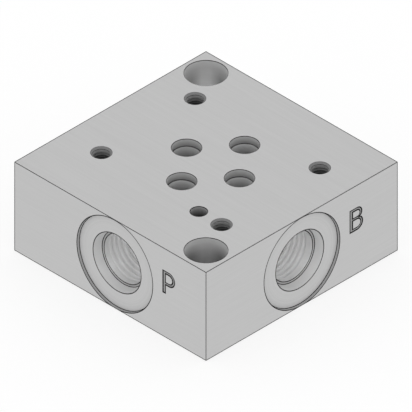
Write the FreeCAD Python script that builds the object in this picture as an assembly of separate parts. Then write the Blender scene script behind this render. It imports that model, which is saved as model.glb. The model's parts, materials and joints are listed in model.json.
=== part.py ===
import FreeCAD, Part
import math
import os

# A side-ported subplate for a size 03 hydraulic directional valve, machined from one bar.
# The origin is the middle of the base, and +Z points up to the valve face.
# Port P opens on the -Y side, T on +Y, A on -X and B on +X. Sizes are in millimetres and degrees.

# Block
block_length = 63.5
block_width = 63.5
block_height = 25.4
edge_break = 0.1

# Middle of the valve pattern, measured from the middle of the block
pattern_x = 1.5875
pattern_y = 0.79375

# Valve ports, measured from the middle of the pattern
port_a_x = -8.8
port_b_x = 8.7
port_p_y = -10.4
port_t_y = 10.4
valve_port_diameter = 7.14
valve_port_depth = 2.03
drop_diameter = 6.75

# Threaded holes for the valve's bolts, measured from the middle of the pattern
left_bolt_x = -21.5
left_bolt_y = 15.5
right_bolt_x = 19.0
right_bolt_y = 16.25
valve_bolt_drill = 4.2
valve_bolt_mouth = 5.1
valve_bolt_depth = 16.0

# Hole for the valve's locating pin, in line with the front bolt on the right
pin_x = 11.5
pin_diameter = 4.04
pin_depth = 4.8

# Counterbored corner holes that hold the block down
corner_inset = 6.35
corner_bolt_diameter = 7.14
corner_head_diameter = 10.32
corner_head_depth = 7.94

# Side ports with a straight thread and an O-ring seat, set on the middle of the block's sides
spotface_diameter = 24.9
spotface_depth = 0.745
seat_diameter = 15.7
seat_length = 2.38
seat_angle = 13.0
tap_drill_diameter = 13.1
tap_drill_depth = 16.2
passage_diameter = 7.94

# Shared by all the drilled holes
drill_angle = 118.0
proud = 1.0

UP = FreeCAD.Vector(0, 0, 1)
LEFT = FreeCAD.Vector(-1, 0, 0)
RIGHT = FreeCAD.Vector(1, 0, 0)
FRONT = FreeCAD.Vector(0, -1, 0)
BACK = FreeCAD.Vector(0, 1, 0)

side_axis_z = block_height / 2


def point_length(radius_change):
    """Length along the axis in which a drill point tapers by this radius."""
    return radius_change / math.tan(math.radians(drill_angle / 2))


def turned_tool(outline):
    """Solid turned about Z from (radius, depth) points that run from the mouth down to the axis."""
    mouth_radius = outline[0][0]
    closed = [(0, -proud), (mouth_radius, -proud)] + outline + [(0, -proud)]
    points = [FreeCAD.Vector(radius, 0, -depth) for radius, depth in closed]
    profile = Part.Face(Part.makePolygon(points))
    return profile.revolve(FreeCAD.Vector(0, 0, 0), UP, 360)


def placed(tool, mouth, outward):
    """The tool with its mouth moved to a point on a face, whose normal is outward."""
    tool.Placement = FreeCAD.Placement(mouth, FreeCAD.Rotation(UP, outward))
    return tool


def on_valve_face(x, y):
    """Point on the valve face, measured from the middle of the valve pattern."""
    return FreeCAD.Vector(pattern_x + x, pattern_y + y, block_height)


def block():
    """Plain bar end with all of its edges broken."""
    corner = FreeCAD.Vector(-block_length / 2, -block_width / 2, 0)
    bar = Part.makeBox(block_length, block_width, block_height, corner)
    return bar.makeChamfer(edge_break, bar.Edges)


def valve_port(x, y):
    """Valve port: a shallow sized mouth, then a drilled drop that ends in the side passage."""
    mouth = valve_port_diameter / 2
    drop = drop_diameter / 2
    drop_end = block_height - side_axis_z
    tool = turned_tool([
        (mouth, 0),
        (mouth, valve_port_depth),
        (drop, valve_port_depth + point_length(mouth - drop)),
        (drop, drop_end),
        (0, drop_end + point_length(drop)),
    ])
    return placed(tool, on_valve_face(x, y), UP)


def valve_bolt_hole(x, y):
    """Tap drilling for a valve bolt, with a countersunk mouth."""
    mouth = valve_bolt_mouth / 2
    drill = valve_bolt_drill / 2
    tool = turned_tool([
        (mouth, 0),
        (drill, mouth - drill),
        (drill, valve_bolt_depth),
        (0, valve_bolt_depth + point_length(drill)),
    ])
    return placed(tool, on_valve_face(x, y), UP)


def pin_hole():
    """Blind hole for the pin that keeps the valve from being fitted the wrong way round."""
    radius = pin_diameter / 2
    tool = turned_tool([
        (radius, 0),
        (radius, pin_depth),
        (0, pin_depth + point_length(radius)),
    ])
    return placed(tool, on_valve_face(pin_x, -right_bolt_y), UP)


def corner_hole(side_x, side_y):
    """Counterbored through hole in the corner on the given sides of the block."""
    bolt = corner_bolt_diameter / 2
    head = corner_head_diameter / 2
    tool = turned_tool([
        (head, 0),
        (head, corner_head_depth),
        (bolt, corner_head_depth),
        (bolt, block_height - edge_break),
        (bolt + edge_break, block_height),
        (bolt + edge_break, block_height + proud),
        (0, block_height + proud),
    ])
    x = side_x * (block_length / 2 - corner_inset)
    y = side_y * (block_width / 2 - corner_inset)
    return placed(tool, FreeCAD.Vector(x, y, block_height), UP)


def side_port(mouth, outward, drop_distance):
    """Side port: spotface, O-ring seat, tap drilling and the passage that meets the drop."""
    spotface = spotface_diameter / 2
    seat = seat_diameter / 2
    tap = tap_drill_diameter / 2
    passage = passage_diameter / 2
    seat_end = spotface_depth + seat_length
    seat_inner = seat - seat_length * math.tan(math.radians(seat_angle))
    tool = turned_tool([
        (spotface, 0),
        (spotface, spotface_depth),
        (seat, spotface_depth),
        (seat_inner, seat_end),
        (tap, seat_end),
        (tap, tap_drill_depth),
        (passage, tap_drill_depth + point_length(tap - passage)),
        (passage, drop_distance),
        (0, drop_distance + point_length(passage)),
    ])
    return placed(tool, mouth, outward)


def side_ports():
    """One side port for each valve port, drilled in as far as the axis of its drop."""
    half_length = block_length / 2
    half_width = block_width / 2
    return [
        side_port(FreeCAD.Vector(pattern_x, -half_width, side_axis_z), FRONT,
                  half_width + pattern_y + port_p_y),
        side_port(FreeCAD.Vector(pattern_x, half_width, side_axis_z), BACK,
                  half_width - pattern_y - port_t_y),
        side_port(FreeCAD.Vector(-half_length, 0, side_axis_z), LEFT,
                  half_length + pattern_x + port_a_x),
        side_port(FreeCAD.Vector(half_length, 0, side_axis_z), RIGHT,
                  half_length - pattern_x - port_b_x),
    ]


def valve_interface():
    """All the holes that the valve needs in its face."""
    ports = [(port_a_x, 0), (port_b_x, 0), (0, port_p_y), (0, port_t_y)]
    bolts = [
        (left_bolt_x, left_bolt_y),
        (left_bolt_x, -left_bolt_y),
        (right_bolt_x, right_bolt_y),
        (right_bolt_x, -right_bolt_y),
    ]
    tools = [valve_port(x, y) for x, y in ports]
    tools += [valve_bolt_hole(x, y) for x, y in bolts]
    return tools + [pin_hole()]


def manifold_block():
    """The whole block, with every hole cut."""
    corner_holes = [corner_hole(1, -1), corner_hole(-1, 1)]
    return block().cut(valve_interface() + corner_holes + side_ports())


os.makedirs("parts", exist_ok=True)
shape = manifold_block()
shape.exportStep("parts/manifold_block.step")
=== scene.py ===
import json
import math

import bmesh
import bpy
from mathutils import Matrix, Vector


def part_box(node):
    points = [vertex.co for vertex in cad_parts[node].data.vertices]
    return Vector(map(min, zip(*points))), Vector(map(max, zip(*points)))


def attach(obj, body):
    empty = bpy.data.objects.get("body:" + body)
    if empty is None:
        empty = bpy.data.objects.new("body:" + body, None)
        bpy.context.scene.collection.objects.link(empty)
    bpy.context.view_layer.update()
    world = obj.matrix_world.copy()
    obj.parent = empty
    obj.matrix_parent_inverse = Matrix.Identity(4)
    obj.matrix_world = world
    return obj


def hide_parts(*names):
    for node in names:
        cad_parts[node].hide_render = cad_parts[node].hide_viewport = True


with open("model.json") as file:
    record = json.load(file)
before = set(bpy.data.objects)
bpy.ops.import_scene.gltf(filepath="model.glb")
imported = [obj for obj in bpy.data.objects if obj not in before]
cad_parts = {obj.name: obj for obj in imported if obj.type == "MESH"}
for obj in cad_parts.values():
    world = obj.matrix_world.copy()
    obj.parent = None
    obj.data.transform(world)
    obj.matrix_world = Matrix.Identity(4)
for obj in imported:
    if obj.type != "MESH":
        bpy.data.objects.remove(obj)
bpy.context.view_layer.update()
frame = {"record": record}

# The block is built in millimetres and then scaled to metres
MM = 0.001
UP = Vector((0, 0, 1))

# The CAD node that the block replaces, and its side ports
NODE = "manifold_block"
PORTS = ("p", "t", "a", "b")

# Sizes that the record's mounts don't give
EDGE_BREAK = 0.1
DROP_RADIUS = 3.375
VALVE_BOLT_MOUTH_RADIUS = 2.55
VALVE_BOLT_DEPTH = 16.0
SPOTFACE_RADIUS = 12.45
SPOTFACE_DEPTH = 0.745
SEAT_RADIUS = 7.85
SEAT_LENGTH = 2.38
SEAT_ANGLE = math.radians(13.0)
TAP_DRILL_DEPTH = 16.2
PASSAGE_RADIUS = 3.97
DRILL_HALF_ANGLE = math.radians(59.0)

# How far the cutting tools stand out of the faces that they cut
PROUD = 1.0

# Threads
PORT_PITCH = 25.4 / 18
PORT_MAJOR_RADIUS = 7.144
PORT_THREAD_START = 3.9
PORT_THREAD_END = 14.0
VALVE_BOLT_PITCH = 0.8
VALVE_BOLT_MAJOR_RADIUS = 2.5
VALVE_BOLT_THREAD_START = 0.6
VALVE_BOLT_THREAD_END = 13.0

# Thread section: the slope of its flanks, and in pitches its start inside the hole and half its tip
THREAD_FLANK = math.radians(30.0)
THREAD_OVERLAP = 0.18
THREAD_TIP_HALF = 1 / 16

# Share of its height that a thread keeps at its two ends
THREAD_END_SHARE = 0.02

# Widths of the dark lines of painted shade along the edges of the holes, the block and the letters
VALVE_PORT_RIM_LINE = 0.1
VALVE_BOLT_RIM_LINE = 0.07
PIN_RIM_LINE = 0.17
CORNER_RIM_LINE = 0.1
SIDE_RIM_LINE = 0.23
TOP_MOUTH_LINE = 0.14
SIDE_MOUTH_LINE = 0.03
FOOT_LINE = 0.12
VALVE_PORT_FOOT_LINE = 0.06
INNER_BORDER_LINE = 0.03
OUTER_BORDER_LINE = 0.2
LETTER_LINE_OUTSIDE = 0.12
LETTER_LINE_INSIDE = 0.24

# How deep the lines round the holes and letters are pressed into the face
SUNK = 0.01

# Shortest step of a hole that gets lines of its own, and the slope below which a step is flat
MIN_LINED_STEP = 0.7
FLAT_SLOPE = 0.01

# Edges in the main view's outline or at the base, with a wider painted shade line, as the normals of a
# face and its neighbour
OUTER_EDGES = [
    ((0, 0, 1), (-1, 0, 0)),
    ((0, 0, 1), (0, 1, 0)),
    ((0, -1, 0), (-1, 0, 0)),
    ((1, 0, 0), (0, 1, 0)),
    ((1, 0, 0), (0, 0, -1)),
    ((-1, 0, 0), (0, 0, -1)),
    ((0, 1, 0), (0, 0, -1)),
    ((0, -1, 0), (0, 0, -1)),
]

# Port letters
LETTER_HEIGHT = 6.35
LETTER_OFFSET = 15.875
LETTER_DEPTH = 0.05
STEM_LEFT = -0.02
STEM = 0.9
BAR = 0.76

# Notch between the bowls of the B: how many degrees before it they end, and how deep it is
NOTCH_ANGLE = 12
NOTCH_DEPTH = 0.25

# A letter's sharp corner moves out no further than the growth of its strokes divided by this
MIN_MITRE = 0.4

# Points this close together are made one
MERGE_DISTANCE = 0.002
LETTER_MERGE_DISTANCE = 0.0001

# Fineness of the round surfaces, and the angle from which an edge is drawn sharp
PORT_SEGMENTS = 128
VALVE_SEGMENTS = 96
SMALL_SEGMENTS = 64
PORT_THREAD_SEGMENTS = 72
VALVE_BOLT_THREAD_SEGMENTS = 32
ARC_STEPS = 24
SHARP_ANGLE = math.radians(25)

# Tool marks: how far they rise and how much they change the tone and the roughness
MARK_HEIGHT = 0.002
MARK_CONTRAST = 0.04
MARK_ROUGHNESS = 0.04

# Noise that makes the tool marks: its detail, and how fine it is along each axis
MARK_DETAIL = 3.0
MARKS_ALONG_X = (60, 2500, 60)
MARKS_LEVEL = (60, 60, 2500)
MARKS_EVEN = (1500, 1500, 1500)

# Turned rings round the side ports, from the distance to the port's axis that each point keeps
RINGS = "rings"
RING_SCALE = 2.5
PORT_RADIUS = "port_radius"

# Painted reflection streak in the corner bores: the diagonal across it, and where along it the painted
# shade starts and ends
PAINTED_STREAK_ACROSS = (math.sqrt(0.5), math.sqrt(0.5), 0.0)
PAINTED_STREAK_EDGES = (0.2, 0.65)

# Painted reflection streak in the side ports, in the same way, from the place across it that each point
# keeps
PAINTED_PORT_REFLECTION = "painted_port_reflection"
PAINTED_PORT_REFLECTION_ACROSS = Vector((1, -1, -1)) * math.sqrt(0.5)
PAINTED_PORT_REFLECTION_EDGES = (0.1, 0.9)

# Distances from the block's upright axis between which the side ports' painted light and shade change
# inwards
PAINTED_PORT_SHADING_REACH = (28.0, 22.0)

# Bare metal is this much bluer than grey
BLUE_TINT = 1.003

# Colour of the floor and the light
WHITE = (1, 1, 1, 1)

# Floor: its gap below the base in millimetres, its reach in metres and its roughness
FLOOR_GAP = 0.02
FLOOR_REACH = 3.0
FLOOR_ROUGHNESS = 0.9

# Share of the floor's look that is plain white, whatever shadow falls on it
FLOOR_GLOW = 0.75

# Isometric camera: its direction, then its width, distance and far end in metres
VIEW_DIRECTION = (1, -1, 1)
VIEW_WIDTH = 0.09636
VIEW_DISTANCE = 0.4
VIEW_FAR_END = 10

# Surfaces of the block, each with a material of the same name
SURFACES = [
    "milled_top",
    "milled_side",
    "broken_edge",
    "rim_line",
    "border_line",
    "spotface",
    "spotface_wall",
    "seat",
    "ledge",
    "port_bore",
    "valve_bore",
    "valve_step",
    "valve_drop",
    "tapped_bore",
    "tapped_mouth",
    "pin_bore",
    "front_corner_bore",
    "back_corner_bore",
    "letter_floor",
]
INDEX = {name: number for number, name in enumerate(SURFACES)}

mounts = {mount["name"]: mount for mount in frame["record"]["mounts"]}
low, high = (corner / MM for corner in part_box(NODE))


def mount_point(name):
    """Place of one of the record's mounts, in millimetres."""
    return Vector(mounts[name]["pos_m"]) / MM


def mount_size(name, size):
    """Size of one of the record's mounts, in millimetres."""
    return mounts[name]["dims"][size]


def over_mount(name, y_offset=0.0):
    """Point on the valve face over a mount, or this far from there in Y."""
    centre = mount_point(name)
    return Vector((centre.x, centre.y + y_offset, high.z))


def polar(radius, angle, z):
    """Point at this radius and angle round the Z axis."""
    return Vector((radius * math.cos(angle), radius * math.sin(angle), z))


def point_length(radius_change):
    """Length in which a drill point tapers by this radius."""
    return radius_change / math.tan(DRILL_HALF_ANGLE)


def add_to_scene(name, data):
    """New object with this data, in the scene."""
    thing = bpy.data.objects.new(name, data)
    bpy.context.scene.collection.objects.link(thing)
    return thing


def add_surfaces(mesh):
    """Gives the mesh the materials of all surfaces, in the order of their numbers."""
    for surface in SURFACES:
        mesh.materials.append(bpy.data.materials[surface])


def mesh_object(name, vertices, faces, surfaces):
    """Mesh object whose faces carry the numbers of their surfaces."""
    mesh = bpy.data.meshes.new(name)
    mesh.from_pydata(vertices, [], faces)
    add_surfaces(mesh)
    mesh.polygons.foreach_set("material_index", [INDEX[surface] for surface in surfaces])
    mesh.update()
    return add_to_scene(name, mesh)


def evaluated_mesh(thing):
    """New mesh of an object with its modifiers and its curve settings applied."""
    evaluated = thing.evaluated_get(bpy.context.evaluated_depsgraph_get())
    return bpy.data.meshes.new_from_object(evaluated)


def make_normals_point_out(mesh):
    work = bmesh.new()
    work.from_mesh(mesh)
    bmesh.ops.recalc_face_normals(work, faces=work.faces)
    work.to_mesh(mesh)
    work.free()


def merge_close_points(mesh, distance):
    work = bmesh.new()
    work.from_mesh(mesh)
    bmesh.ops.remove_doubles(work, verts=work.verts, dist=distance)
    work.to_mesh(mesh)
    work.free()


def faces_along_z(face):
    return abs(face.normal.z) > 0.5


def with_lines(outline, rim_line, mouth_line, foot_line=FOOT_LINE):
    """Adds dark lines of painted shade to a (radius, depth, surface) outline.

    The face round the mouth gets a sunk rim line. Each long step gets a line at both of its ends:
    a wall at its mouth and its foot, a flat at its foot and at the rim of what opens in it.
    """
    mouth_radius = outline[0][0]
    lined = [
        (mouth_radius + rim_line, 0.0, "rim_line"),
        (mouth_radius + rim_line, SUNK, "rim_line"),
        (mouth_radius, SUNK, "rim_line"),
    ]
    start = Vector((mouth_radius, SUNK))
    for radius, depth, surface in outline[1:]:
        end = Vector((radius, depth))
        step = end - start
        if radius > 0 and step.length > MIN_LINED_STEP:
            along = step.normalized()
            flat = abs(along.y) < FLAT_SLOPE
            lined.append((*(start + along * (FOOT_LINE if flat else mouth_line)), "rim_line"))
            lined.append((*(end - along * (rim_line if flat else foot_line)), surface))
            lined.append((*end, "rim_line"))
        else:
            lined.append((*end, surface))
        start = end
    return lined


def placement(mouth, outward):
    """Matrix that moves a tool's mouth to a point, with its axis along the outward normal."""
    turn = UP.rotation_difference(outward).to_matrix().to_4x4()
    return Matrix.Translation(mouth) @ turn


def turned_tool(name, outline, segments, mouth, outward):
    """Closed tool turned about the line through a mouth, from an outline that ends on the axis."""
    rings = [(outline[0][0], -PROUD, "rim_line")] + outline[:-1]
    vertices = [Vector((0, 0, PROUD))]
    for radius, depth, _ in rings:
        vertices += [polar(radius, math.tau * number / segments, -depth) for number in range(segments)]
    vertices.append(Vector((0, 0, -outline[-1][1])))
    faces = []
    surfaces = []
    for number in range(segments):
        following = (number + 1) % segments
        faces.append((0, 1 + number, 1 + following))
        surfaces.append("rim_line")
        for ring in range(len(rings) - 1):
            above = 1 + ring * segments
            below = above + segments
            faces.append((above + number, below + number, below + following, above + following))
            surfaces.append(rings[ring + 1][2])
        last = 1 + (len(rings) - 1) * segments
        faces.append((last + number, len(vertices) - 1, last + following))
        surfaces.append(outline[-1][2])
    tool = mesh_object(name, vertices, faces, surfaces)
    tool.data.transform(placement(mouth, outward))
    return tool


def thread_tool(name, pitch, drill_radius, major_radius, start, end, segments, surface, place):
    """Coil of thread-shaped section, whose first and last turns fade into the drilled hole."""
    base = drill_radius - THREAD_OVERLAP * pitch
    tip_half = THREAD_TIP_HALF * pitch
    count = round((end - start) / pitch * segments)
    vertices = []
    for step in range(count + 1):
        angle = math.tau * step / segments
        depth = start + pitch * step / segments
        turns_to_end = min(step, count - step) / segments
        tip = base + (major_radius - base) * max(THREAD_END_SHARE, min(1.0, turns_to_end))
        base_half = tip_half + (tip - base) * math.tan(THREAD_FLANK)
        vertices += [
            polar(base, angle, -depth + base_half),
            polar(tip, angle, -depth + tip_half),
            polar(tip, angle, -depth - tip_half),
            polar(base, angle, -depth - base_half),
        ]
    faces = [(0, 1, 2, 3)]
    for step in range(count):
        here = 4 * step
        there = here + 4
        for side in range(4):
            following = (side + 1) % 4
            faces.append((here + side, there + side, there + following))
            faces.append((here + side, there + following, here + following))
    last = 4 * count
    faces.append((last + 3, last + 2, last + 1, last))
    coil = mesh_object(name, vertices, faces, [surface] * len(faces))
    coil.data.transform(place)
    make_normals_point_out(coil.data)
    return coil


def cut(piece, tools):
    """Cuts all the tools out of the piece and deletes them."""
    collection = bpy.data.collections.new("tools")
    bpy.context.scene.collection.children.link(collection)
    for tool in tools:
        bpy.context.scene.collection.objects.unlink(tool)
        collection.objects.link(tool)
    modifier = piece.modifiers.new("cut", "BOOLEAN")
    modifier.operation = "DIFFERENCE"
    modifier.solver = "MANIFOLD"
    modifier.operand_type = "COLLECTION"
    modifier.collection = collection
    modifier.material_mode = "INDEX"
    mesh = evaluated_mesh(piece)
    piece.modifiers.clear()
    piece.data = mesh
    for tool in tools:
        bpy.data.meshes.remove(tool.data)
    bpy.data.collections.remove(collection)


def plain_block():
    """Bar end to the CAD block's box, with every edge broken and a dark border of painted shade on
    every face.
    """
    work = bmesh.new()
    bmesh.ops.create_cube(work, size=1.0)
    for vertex in work.verts:
        share = vertex.co + Vector((0.5, 0.5, 0.5))
        vertex.co = Vector([low[i] + share[i] * (high[i] - low[i]) for i in range(3)])
    for face in work.faces:
        face.material_index = INDEX["milled_top" if faces_along_z(face) else "milled_side"]
    bmesh.ops.bevel(
        work,
        geom=work.edges[:],
        offset=EDGE_BREAK,
        offset_type="OFFSET",
        segments=1,
        affect="EDGES",
        material=INDEX["broken_edge"],
    )
    flats = [face for face in work.faces if face.material_index != INDEX["broken_edge"]]
    borders = bmesh.ops.inset_individual(work, faces=flats, thickness=INNER_BORDER_LINE)["faces"]
    for face in borders:
        face.material_index = INDEX["border_line"]
    for face in flats:
        fit_border(face)
    mesh = bpy.data.meshes.new(NODE)
    work.to_mesh(mesh)
    work.free()
    add_surfaces(mesh)
    return add_to_scene("machined_block", mesh)


def fit_border(face):
    """Moves the corners of a flat face so that its painted shade border has the right width on each
    side.
    """
    normal = tuple(round(part) for part in face.normal)
    middle = (low + high) / 2
    for vertex in face.verts:
        for axis in range(3):
            if normal[axis]:
                continue
            side = 1 if vertex.co[axis] > middle[axis] else -1
            neighbour = tuple(side if i == axis else 0 for i in range(3))
            outer = (normal, neighbour) in OUTER_EDGES
            width = OUTER_BORDER_LINE if outer else INNER_BORDER_LINE
            limit = high if side > 0 else low
            vertex.co[axis] = limit[axis] - side * (EDGE_BREAK + width)


def valve_port_tool(letter):
    name = "valve_port_" + letter
    mouth = mount_size(name, "r_mm")
    depth = mount_size(name, "length_mm")
    drop_end = high.z - mount_point("port_" + letter).z
    outline = with_lines([
        (mouth, 0, "valve_bore"),
        (mouth, depth, "valve_bore"),
    ], VALVE_PORT_RIM_LINE, TOP_MOUTH_LINE, VALVE_PORT_FOOT_LINE)
    outline += [
        (DROP_RADIUS, depth + point_length(mouth - DROP_RADIUS), "valve_step"),
        (DROP_RADIUS, drop_end, "valve_drop"),
        (0, drop_end + point_length(DROP_RADIUS), "valve_drop"),
    ]
    return turned_tool("valve_port", outline, VALVE_SEGMENTS, over_mount(name), UP)


def valve_bolt_places():
    """Mouths of the four tapped holes, from the two halves of the pattern."""
    places = []
    for side in ("left", "right"):
        name = "valve_bolts_" + side
        half = mount_size(name, "spacing_y_mm") / 2
        places += [over_mount(name, sign * half) for sign in (-1, 1)]
    return places


def valve_bolt_tool(place):
    drill = mount_size("valve_bolts_left", "hole_r_mm")
    outline = with_lines([
        (VALVE_BOLT_MOUTH_RADIUS, 0, "tapped_bore"),
        (drill, VALVE_BOLT_MOUTH_RADIUS - drill, "tapped_mouth"),
        (drill, VALVE_BOLT_DEPTH, "tapped_bore"),
        (0, VALVE_BOLT_DEPTH + point_length(drill), "tapped_bore"),
    ], VALVE_BOLT_RIM_LINE, TOP_MOUTH_LINE)
    return turned_tool("valve_bolt_hole", outline, SMALL_SEGMENTS, place, UP)


def valve_bolt_thread(place):
    return thread_tool(
        "valve_bolt_thread", VALVE_BOLT_PITCH, mount_size("valve_bolts_left", "hole_r_mm"),
        VALVE_BOLT_MAJOR_RADIUS, VALVE_BOLT_THREAD_START, VALVE_BOLT_THREAD_END,
        VALVE_BOLT_THREAD_SEGMENTS, "tapped_bore", placement(place, UP),
    )


def pin_tool():
    radius = mount_size("pin_hole", "r_mm")
    depth = mount_size("pin_hole", "length_mm")
    outline = with_lines([
        (radius, 0, "pin_bore"),
        (radius, depth, "pin_bore"),
        (0, depth + point_length(radius), "pin_bore"),
    ], PIN_RIM_LINE, TOP_MOUTH_LINE)
    return turned_tool("pin_hole", outline, SMALL_SEGMENTS, over_mount("pin_hole"), UP)


def corner_tool(side):
    """Tool for the counterbored through hole in the front or the back corner."""
    name = "corner_head_" + side
    head = mount_size(name, "r_mm")
    head_depth = mount_size(name, "length_mm")
    bolt = mount_size("corner_hole_" + side, "r_mm")
    height = high.z - low.z
    surface = side + "_corner_bore"
    outline = with_lines([
        (head, 0, surface),
        (head, head_depth, surface),
        (bolt, head_depth, surface),
        (bolt, height - EDGE_BREAK, surface),
    ], CORNER_RIM_LINE, TOP_MOUTH_LINE)
    outline += [
        (bolt + EDGE_BREAK, height, "broken_edge"),
        (bolt + EDGE_BREAK, height + PROUD, "broken_edge"),
        (0, height + PROUD, "broken_edge"),
    ]
    return turned_tool("corner_hole", outline, VALVE_SEGMENTS, over_mount(name), UP)


def port_mouth(letter):
    """Where the axis of a side port leaves the block, and the outward normal there."""
    name = "port_" + letter
    outward = Vector(mounts[name]["axis"])
    centre = mount_point(name)
    face = high if sum(outward) > 0 else low
    return centre + outward * (outward.dot(face) - outward.dot(centre)), outward


def side_port_tool(letter):
    mouth, outward = port_mouth(letter)
    tap = mount_size("port_" + letter, "r_mm")
    drop_distance = outward.dot(mouth - mount_point("valve_port_" + letter))
    seat_end = SPOTFACE_DEPTH + SEAT_LENGTH
    seat_inner = SEAT_RADIUS - SEAT_LENGTH * math.tan(SEAT_ANGLE)
    outline = with_lines([
        (SPOTFACE_RADIUS, 0, "spotface"),
        (SPOTFACE_RADIUS, SPOTFACE_DEPTH, "spotface_wall"),
        (SEAT_RADIUS, SPOTFACE_DEPTH, "spotface"),
        (seat_inner, seat_end, "seat"),
        (tap, seat_end, "ledge"),
        (tap, TAP_DRILL_DEPTH, "port_bore"),
        (PASSAGE_RADIUS, TAP_DRILL_DEPTH + point_length(tap - PASSAGE_RADIUS), "port_bore"),
        (PASSAGE_RADIUS, drop_distance, "port_bore"),
        (0, drop_distance + point_length(PASSAGE_RADIUS), "port_bore"),
    ], SIDE_RIM_LINE, SIDE_MOUTH_LINE)
    return turned_tool("side_port", outline, PORT_SEGMENTS, mouth, outward)


def side_port_thread(letter):
    mouth, outward = port_mouth(letter)
    return thread_tool(
        "side_port_thread", PORT_PITCH, mount_size("port_" + letter, "r_mm"),
        PORT_MAJOR_RADIUS, PORT_THREAD_START, PORT_THREAD_END,
        PORT_THREAD_SEGMENTS, "port_bore", placement(mouth, outward),
    )


def arc(x, y, radius, start, end):
    """Points of an arc, with its angles in degrees."""
    degrees = [start + (end - start) * step / ARC_STEPS for step in range(ARC_STEPS + 1)]
    angles = [math.radians(angle) for angle in degrees]
    return [(x + radius * math.cos(angle), y + radius * math.sin(angle)) for angle in angles]


def bowl_counter(left, base, straight, radius):
    """The space inside a bowl, whose right side is half a circle."""
    bowl = arc(straight, base + radius, radius, -90, 90)
    return [(left, base)] + bowl + [(left, base + 2 * radius)]


def letter_p():
    radius = 1.96
    straight = 2.0
    middle = LETTER_HEIGHT - radius
    base = middle - radius
    outer = [(STEM_LEFT, 0), (STEM, 0), (STEM, base)]
    outer += arc(straight, middle, radius, -90, 90)
    outer += [(STEM_LEFT, LETTER_HEIGHT)]
    return [outer, bowl_counter(STEM, base + BAR, straight, radius - BAR)]


def letter_b():
    stem = STEM + 0.02
    straight = 2.36
    lower = 1.875
    upper = 1.62
    lower_counter = 1.15
    upper_counter = 0.91
    upper_y = LETTER_HEIGHT - upper
    gap = upper_y - lower

    # The circles of the two bowls cross at the notch
    rise = (lower ** 2 - upper ** 2 + gap ** 2) / (2 * gap)
    reach = math.sqrt(lower ** 2 - rise ** 2)
    lower_end = math.degrees(math.atan2(rise, reach)) - NOTCH_ANGLE
    upper_start = math.degrees(math.atan2(rise - gap, reach)) + NOTCH_ANGLE
    outer = [(STEM_LEFT, 0)] + arc(straight, lower, lower, -90, lower_end)
    outer += [(straight + reach - NOTCH_DEPTH, lower + rise)]
    outer += arc(straight, upper_y, upper, upper_start, 90)
    outer += [(STEM_LEFT, LETTER_HEIGHT)]
    return [
        outer,
        bowl_counter(stem, BAR, straight, lower_counter),
        bowl_counter(stem, LETTER_HEIGHT - BAR - 2 * upper_counter, straight, upper_counter),
    ]


def letter_a():
    width = 4.9
    top = 0.95
    foot = 1.02
    bar_base = 1.75
    middle = width / 2
    slope = (middle - top / 2) / LETTER_HEIGHT
    inner_top = (middle - foot) / slope

    def inner_edge(y):
        return foot + slope * y

    outer = [
        (0, 0),
        (foot, 0),
        (inner_edge(bar_base), bar_base),
        (width - inner_edge(bar_base), bar_base),
        (width - foot, 0),
        (width, 0),
        (middle + top / 2, LETTER_HEIGHT),
        (middle - top / 2, LETTER_HEIGHT),
    ]
    counter_base = bar_base + BAR
    counter = [
        (inner_edge(counter_base), counter_base),
        (width - inner_edge(counter_base), counter_base),
        (middle, inner_top),
    ]
    return [outer, counter]


def letter_t():
    width = 4.6
    middle = width / 2
    under = LETTER_HEIGHT - BAR
    return [[
        (middle - STEM / 2, 0),
        (middle + STEM / 2, 0),
        (middle + STEM / 2, under),
        (width, under),
        (width, LETTER_HEIGHT),
        (0, LETTER_HEIGHT),
        (0, under),
        (middle - STEM / 2, under),
    ]]


def grown(outlines, distance):
    """The outlines of a letter, with its strokes made wider by this distance on each side."""
    result = []
    for outline in outlines:
        points = [Vector(point) for point in outline]
        area = sum(a.x * b.y - a.y * b.x for a, b in zip(points, points[1:] + points[:1]))
        side = distance if (area > 0) == (outline is outlines[0]) else -distance
        moved = []
        for number, point in enumerate(points):
            before = (point - points[number - 1]).normalized()
            after = (points[(number + 1) % len(points)] - point).normalized()
            normal = Vector((before.y + after.y, -before.x - after.x)).normalized()
            mitre = max(MIN_MITRE, normal.dot((before.y, -before.x)))
            moved.append(point + normal * side / mitre)
        result.append([(point.x, point.y) for point in moved])
    return result


def letter_tool(letter, outlines, depth, floor):
    """Prism of a port letter, beside its port and sunk into the face."""
    curve = bpy.data.curves.new("letter", "CURVE")
    curve.dimensions = "2D"
    curve.fill_mode = "BOTH"
    curve.extrude = depth
    for outline in outlines:
        spline = curve.splines.new("POLY")
        spline.points.add(len(outline) - 1)
        for point, (x, y) in zip(spline.points, outline):
            point.co = (x, y, 0, 1)
        spline.use_cyclic_u = True
    shape = add_to_scene("letter", curve)
    mesh = evaluated_mesh(shape)
    bpy.data.objects.remove(shape)
    merge_close_points(mesh, LETTER_MERGE_DISTANCE)
    make_normals_point_out(mesh)
    for face in mesh.polygons:
        face.material_index = INDEX[floor if faces_along_z(face) else "rim_line"]
    mouth, outward = port_mouth(letter)
    right = UP.cross(outward)
    turn = Matrix((right, UP, outward)).transposed().to_4x4()
    mesh.transform(Matrix.Translation(mouth + right * LETTER_OFFSET) @ turn)
    add_surfaces(mesh)
    return add_to_scene("letter", mesh)


def store_port_places(mesh):
    """Keeps each point's place round the nearest side port.

    One value is its distance from the port's axis in millimetres, the other how far it lies
    beside the port's painted reflection streak, from 0 to 1.
    """
    mouths = [port_mouth(letter) for letter in PORTS]
    distances = []
    asides = []
    for vertex in mesh.vertices:
        mouth, outward = min(mouths, key=lambda port: (vertex.co - port[0]).length_squared)
        reach = vertex.co - mouth
        across = reach - outward * reach.dot(outward)
        distances.append(across.length)
        asides.append(abs(across.normalized().dot(PAINTED_PORT_REFLECTION_ACROSS)))
    for name, values in ((PORT_RADIUS, distances), (PAINTED_PORT_REFLECTION, asides)):
        attribute = mesh.attributes.new(name, "FLOAT", "POINT")
        attribute.data.foreach_set("value", values)


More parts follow.
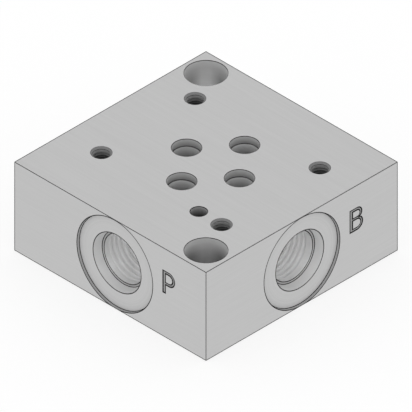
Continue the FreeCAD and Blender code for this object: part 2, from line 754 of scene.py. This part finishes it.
def machined_block():
    """The block with all its holes, threads and letters cut."""
    piece = plain_block()
    bolt_places = valve_bolt_places()
    tools = [valve_port_tool(letter) for letter in PORTS]
    tools += [side_port_tool(letter) for letter in PORTS]
    tools += [valve_bolt_tool(place) for place in bolt_places]
    tools += [corner_tool("front"), corner_tool("back"), pin_tool()]
    cut(piece, tools)
    cut(piece, [side_port_thread(letter) for letter in PORTS])
    cut(piece, [valve_bolt_thread(place) for place in bolt_places])
    shapes = {"p": letter_p(), "t": letter_t(), "a": letter_a(), "b": letter_b()}
    for growth, depth, floor in (
        (LETTER_LINE_OUTSIDE, SUNK, "rim_line"),
        (0, LETTER_DEPTH, "rim_line"),
        (-LETTER_LINE_INSIDE, LETTER_DEPTH + SUNK, "letter_floor"),
    ):
        grown_shapes = {letter: grown(shapes[letter], growth) for letter in PORTS}
        cut(piece, [letter_tool(letter, grown_shapes[letter], depth, floor) for letter in PORTS])
    merge_close_points(piece.data, MERGE_DISTANCE)
    store_port_places(piece.data)
    piece.data.transform(Matrix.Scale(MM, 4))
    piece.data.shade_smooth()
    piece.data.set_sharp_from_angle(angle=SHARP_ANGLE)
    return piece


def value_range(material, source, low_value, high_value, from_low=0.0, from_high=1.0):
    """Output of a new node that turns one range of values into another."""
    node = material.node_tree.nodes.new("ShaderNodeMapRange")
    node.inputs["From Min"].default_value = from_low
    node.inputs["From Max"].default_value = from_high
    node.inputs["To Min"].default_value = low_value
    node.inputs["To Max"].default_value = high_value
    material.node_tree.links.new(source, node.inputs["Value"])
    return node.outputs["Result"]


def product(material, first, second):
    """Output of a new node that multiplies two values."""
    node = material.node_tree.nodes.new("ShaderNodeMath")
    node.operation = "MULTIPLY"
    material.node_tree.links.new(first, node.inputs[0])
    material.node_tree.links.new(second, node.inputs[1])
    return node.outputs["Value"]


def stored_value(material, name):
    """Output with a value that each point of the mesh keeps."""
    node = material.node_tree.nodes.new("ShaderNodeAttribute")
    node.attribute_name = name
    return node.outputs["Fac"]


def by_depth(material, start_value, end_value, start, end):
    """Value that changes between two depths below the top face."""
    nodes = material.node_tree.nodes
    place = nodes.new("ShaderNodeTexCoord")
    split = nodes.new("ShaderNodeSeparateXYZ")
    material.node_tree.links.new(place.outputs["Object"], split.inputs["Vector"])
    low_z, high_z = (high.z - end) * MM, (high.z - start) * MM
    return value_range(material, split.outputs["Z"], end_value, start_value, low_z, high_z)


def by_port_depth(material, outer_value, inner_value):
    """Value that changes along the side ports, from their seats to the inside, for their painted light
    and shade.
    """
    nodes = material.node_tree.nodes
    links = material.node_tree.links
    place = nodes.new("ShaderNodeTexCoord")
    level = nodes.new("ShaderNodeVectorMath")
    level.operation = "MULTIPLY"
    level.inputs[1].default_value = (1, 1, 0)
    length = nodes.new("ShaderNodeVectorMath")
    length.operation = "LENGTH"
    links.new(place.outputs["Object"], level.inputs[0])
    links.new(level.outputs["Vector"], length.inputs[0])
    start, end = (distance * MM for distance in PAINTED_PORT_SHADING_REACH)
    return value_range(material, length.outputs["Value"], outer_value, inner_value, start, end)


def painted_reflection_streak_factor(material, streak):
    """Factor that leaves a bore's wall light along one diagonal of the block, as a painted reflection,
    and painted dark beside it.
    """
    share, start, end = streak
    nodes = material.node_tree.nodes
    links = material.node_tree.links
    place = nodes.new("ShaderNodeTexCoord")
    facing = nodes.new("ShaderNodeVectorMath")
    facing.operation = "DOT_PRODUCT"
    facing.inputs[1].default_value = PAINTED_STREAK_ACROSS
    links.new(place.outputs["Normal"], facing.inputs[0])
    size = nodes.new("ShaderNodeMath")
    size.operation = "ABSOLUTE"
    links.new(facing.outputs["Value"], size.inputs[0])
    beside = value_range(material, size.outputs["Value"], 0.0, 1.0, *PAINTED_STREAK_EDGES)
    below = by_depth(material, 0.0, share, start, end)
    return value_range(material, product(material, beside, below), 1.0, 0.0)


def painted_port_reflection_factor(material, share):
    """Factor that paints shade on a side port's wall beside its painted reflection streak, less and
    less towards the inside.
    """
    place = stored_value(material, PAINTED_PORT_REFLECTION)
    beside = value_range(material, place, 0.0, 1.0, *PAINTED_PORT_REFLECTION_EDGES)
    outside = by_port_depth(material, share, 0.0)
    return value_range(material, product(material, beside, outside), 1.0, 0.0)


def tool_marks(material, marks):
    """Noise stretched along the axes by the given scales, or in rings round the side ports."""
    nodes = material.node_tree.nodes
    links = material.node_tree.links
    noise = nodes.new("ShaderNodeTexNoise")
    noise.inputs["Detail"].default_value = MARK_DETAIL
    if marks == RINGS:
        noise.noise_dimensions = "1D"
        noise.inputs["Scale"].default_value = RING_SCALE
        links.new(stored_value(material, PORT_RADIUS), noise.inputs["W"])
    else:
        noise.inputs["Scale"].default_value = 1.0
        place = nodes.new("ShaderNodeTexCoord")
        stretch = nodes.new("ShaderNodeMapping")
        stretch.inputs["Scale"].default_value = marks
        links.new(place.outputs["Object"], stretch.inputs["Vector"])
        links.new(stretch.outputs["Vector"], noise.inputs["Vector"])
    return noise.outputs["Fac"]


def metal(name, tone, roughness, metallic=1.0, marks=None, contrast=MARK_CONTRAST,
          fade=None, painted_light_inside=None, streak=None, painted_port_reflection=None):
    """Bare aluminium, with tool marks in its tone, roughness and height, and painted light and shade in
    its tone.

    fade gives the tone further down in a hole, as painted shade where it is darker and painted light
    where it is lighter, and the depths where the change starts and ends. The inner tone is the lighter
    tone painted at the inside of a side port, as painted light. streak gives how much darker a corner
    bore is painted beside its painted reflection streak, and the depths between which this comes in.
    The port streak gives how much darker a side port is painted beside its own reflection streak.
    """
    material = bpy.data.materials.new(name)
    material.use_nodes = True
    nodes = material.node_tree.nodes
    links = material.node_tree.links
    shader = nodes["Principled BSDF"]
    shader.inputs["Metallic"].default_value = metallic
    shader.inputs["Roughness"].default_value = roughness
    shader.inputs["Base Color"].default_value = (tone, tone, tone * BLUE_TINT, 1)
    shade = None
    # Tone that changes with depth: painted shade where it darkens, painted light where it lightens
    if fade:
        shade = by_depth(material, tone, *fade)
    # Lighter tone towards the inside of a side port: painted light
    elif painted_light_inside:
        shade = by_port_depth(material, tone, painted_light_inside)
    # Painted reflection streak in a corner bore, with painted shade beside it
    if streak:
        shade = product(material, shade, painted_reflection_streak_factor(material, streak))
    # Painted reflection streak in a side port, with painted shade beside it
    if painted_port_reflection:
        factor = painted_port_reflection_factor(material, painted_port_reflection)
        if shade:
            shade = product(material, shade, factor)
        else:
            shade = value_range(material, factor, 0.0, tone)
    if marks:
        height = tool_marks(material, marks)
        if shade:
            factor = value_range(material, height, 1 - contrast, 1 + contrast)
            shade = product(material, shade, factor)
        else:
            shade = value_range(material, height, tone * (1 - contrast), tone * (1 + contrast))
        smooth, rough = roughness - MARK_ROUGHNESS, roughness + MARK_ROUGHNESS
        links.new(value_range(material, height, rough, smooth), shader.inputs["Roughness"])
        bump = nodes.new("ShaderNodeBump")
        bump.inputs["Strength"].default_value = 1.0
        bump.inputs["Distance"].default_value = MARK_HEIGHT * MM
        links.new(height, bump.inputs["Height"])
        links.new(bump.outputs["Normal"], shader.inputs["Normal"])
    if shade:
        links.new(shade, shader.inputs["Base Color"])


def make_materials():
    metal("milled_top", 0.535, 0.45, marks=MARKS_ALONG_X)
    metal("milled_side", 0.535, 0.45, marks=MARKS_LEVEL)
    # Near-black tones on the edge breaks, rims and borders: painted shade lines along the edges
    metal("broken_edge", 0.09, 0.5)
    metal("rim_line", 0.015, 0.5)
    metal("border_line", 0.015, 0.5)
    metal("spotface", 0.5, 0.6, metallic=0.0, marks=RINGS, contrast=0.06)
    # Darker wall of the spotface: painted shade in the recess
    metal("spotface_wall", 0.38, 0.6, metallic=0.0)
    # Side ports: seat and bore tones lighter than the milled faces are painted light
    metal("seat", 0.72, 0.6, metallic=0.3, marks=RINGS, painted_port_reflection=0.11)
    metal("ledge", 0.56, 0.6, metallic=0.0, marks=RINGS, painted_port_reflection=0.33)
    metal("port_bore", 0.85, 0.6, metallic=0.0, painted_light_inside=1.0, painted_port_reflection=0.28)
    # Valve-face holes: tones painted darker with depth as painted shade, and the drop's lighter top
    # painted light
    metal("valve_bore", 0.56, 0.6, metallic=0.1, marks=MARKS_LEVEL, fade=(0.3, 0.0, 2.0))
    # Near-black step between bore and drop: a painted shade line
    metal("valve_step", 0.07, 0.6, metallic=0.1)
    metal("valve_drop", 0.74, 0.6, metallic=0.1, marks=MARKS_LEVEL, fade=(0.32, 2.1, 5.0))
    # Dark cone at the tapped holes' mouths: a painted shade line
    metal("tapped_mouth", 0.19, 0.6, metallic=0.1)
    metal("tapped_bore", 0.46, 0.6, metallic=0.1, fade=(0.06, 0.0, 3.0))
    metal("pin_bore", 0.42, 0.6, metallic=0.1, marks=MARKS_LEVEL, fade=(0.06, 0.0, 3.0))
    # Corner bores: copies of one finish whose tones differ only by painted light and shade
    metal("front_corner_bore", 0.61, 0.6, metallic=0.15, marks=MARKS_LEVEL,
          fade=(0.47, 0.0, 9.0), streak=(0.43, 1.3, 4.9))
    metal("back_corner_bore", 0.58, 0.6, metallic=0.15, marks=MARKS_LEVEL,
          fade=(0.96, 2.0, 6.5), streak=(0.45, 0.9, 4.7))
    metal("letter_floor", 0.33, 0.5, marks=MARKS_EVEN)


def mixed(material, share, first, second):
    """Output of a new node that goes over from one shader to another."""
    node = material.node_tree.nodes.new("ShaderNodeMixShader")
    material.node_tree.links.new(share, node.inputs["Fac"])
    material.node_tree.links.new(first, node.inputs[1])
    material.node_tree.links.new(second, node.inputs[2])
    return node.outputs["Shader"]


def floor_material():
    """White floor that keeps a light shadow and shows plain white in the metal.

    Seen from underneath it is clear, so that the base of the block can be looked at.
    """
    material = bpy.data.materials.new("floor_white")
    material.use_nodes = True
    nodes = material.node_tree.nodes
    paint = nodes["Principled BSDF"]
    paint.inputs["Base Color"].default_value = WHITE
    paint.inputs["Roughness"].default_value = FLOOR_ROUGHNESS
    paint.inputs["Specular IOR Level"].default_value = 0.0
    glow = nodes.new("ShaderNodeEmission")
    glow.inputs["Color"].default_value = WHITE
    glow.inputs["Strength"].default_value = 1.0
    ray = nodes.new("ShaderNodeLightPath")
    share = value_range(material, ray.outputs["Is Glossy Ray"], FLOOR_GLOW, 1.0)
    above = mixed(material, share, paint.outputs["BSDF"], glow.outputs["Emission"])
    clear = nodes.new("ShaderNodeBsdfTransparent")
    underneath = nodes.new("ShaderNodeNewGeometry").outputs["Backfacing"]
    surface = mixed(material, underneath, above, clear.outputs["BSDF"])
    material.node_tree.links.new(surface, nodes["Material Output"].inputs["Surface"])
    material.cycles.emission_sampling = "NONE"
    return material


def make_stage():
    level = (low.z - FLOOR_GAP) * MM
    signs = ((-1, -1), (1, -1), (1, 1), (-1, 1))
    corners = [(x * FLOOR_REACH, y * FLOOR_REACH, level) for x, y in signs]
    mesh = bpy.data.meshes.new("floor")
    mesh.from_pydata(corners, [], [(0, 1, 2, 3)])
    mesh.materials.append(floor_material())
    floor = add_to_scene("floor", mesh)


def make_light():
    """Even white light from all round."""
    world = bpy.data.worlds.new("studio")
    bpy.context.scene.world = world
    world.use_nodes = True
    background = world.node_tree.nodes["Background"]
    background.inputs["Color"].default_value = WHITE
    background.inputs["Strength"].default_value = 1.0


def make_camera():
    """Isometric view in parallel projection, aimed at the middle of the block."""
    camera = bpy.data.cameras.new("camera")
    camera.type = "ORTHO"
    camera.ortho_scale = VIEW_WIDTH
    camera.clip_end = VIEW_FAR_END
    holder = add_to_scene("camera", camera)
    direction = Vector(VIEW_DIRECTION).normalized()
    middle = (low + high) / 2 * MM
    holder.location = middle + direction * VIEW_DISTANCE
    holder.rotation_euler = direction.to_track_quat("Z", "Y").to_euler()
    bpy.context.scene.camera = holder


make_materials()
block = machined_block()
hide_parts(NODE)
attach(block, "root")
make_stage()
make_light()
make_camera()
bpy.context.scene.view_settings.view_transform = "Standard"
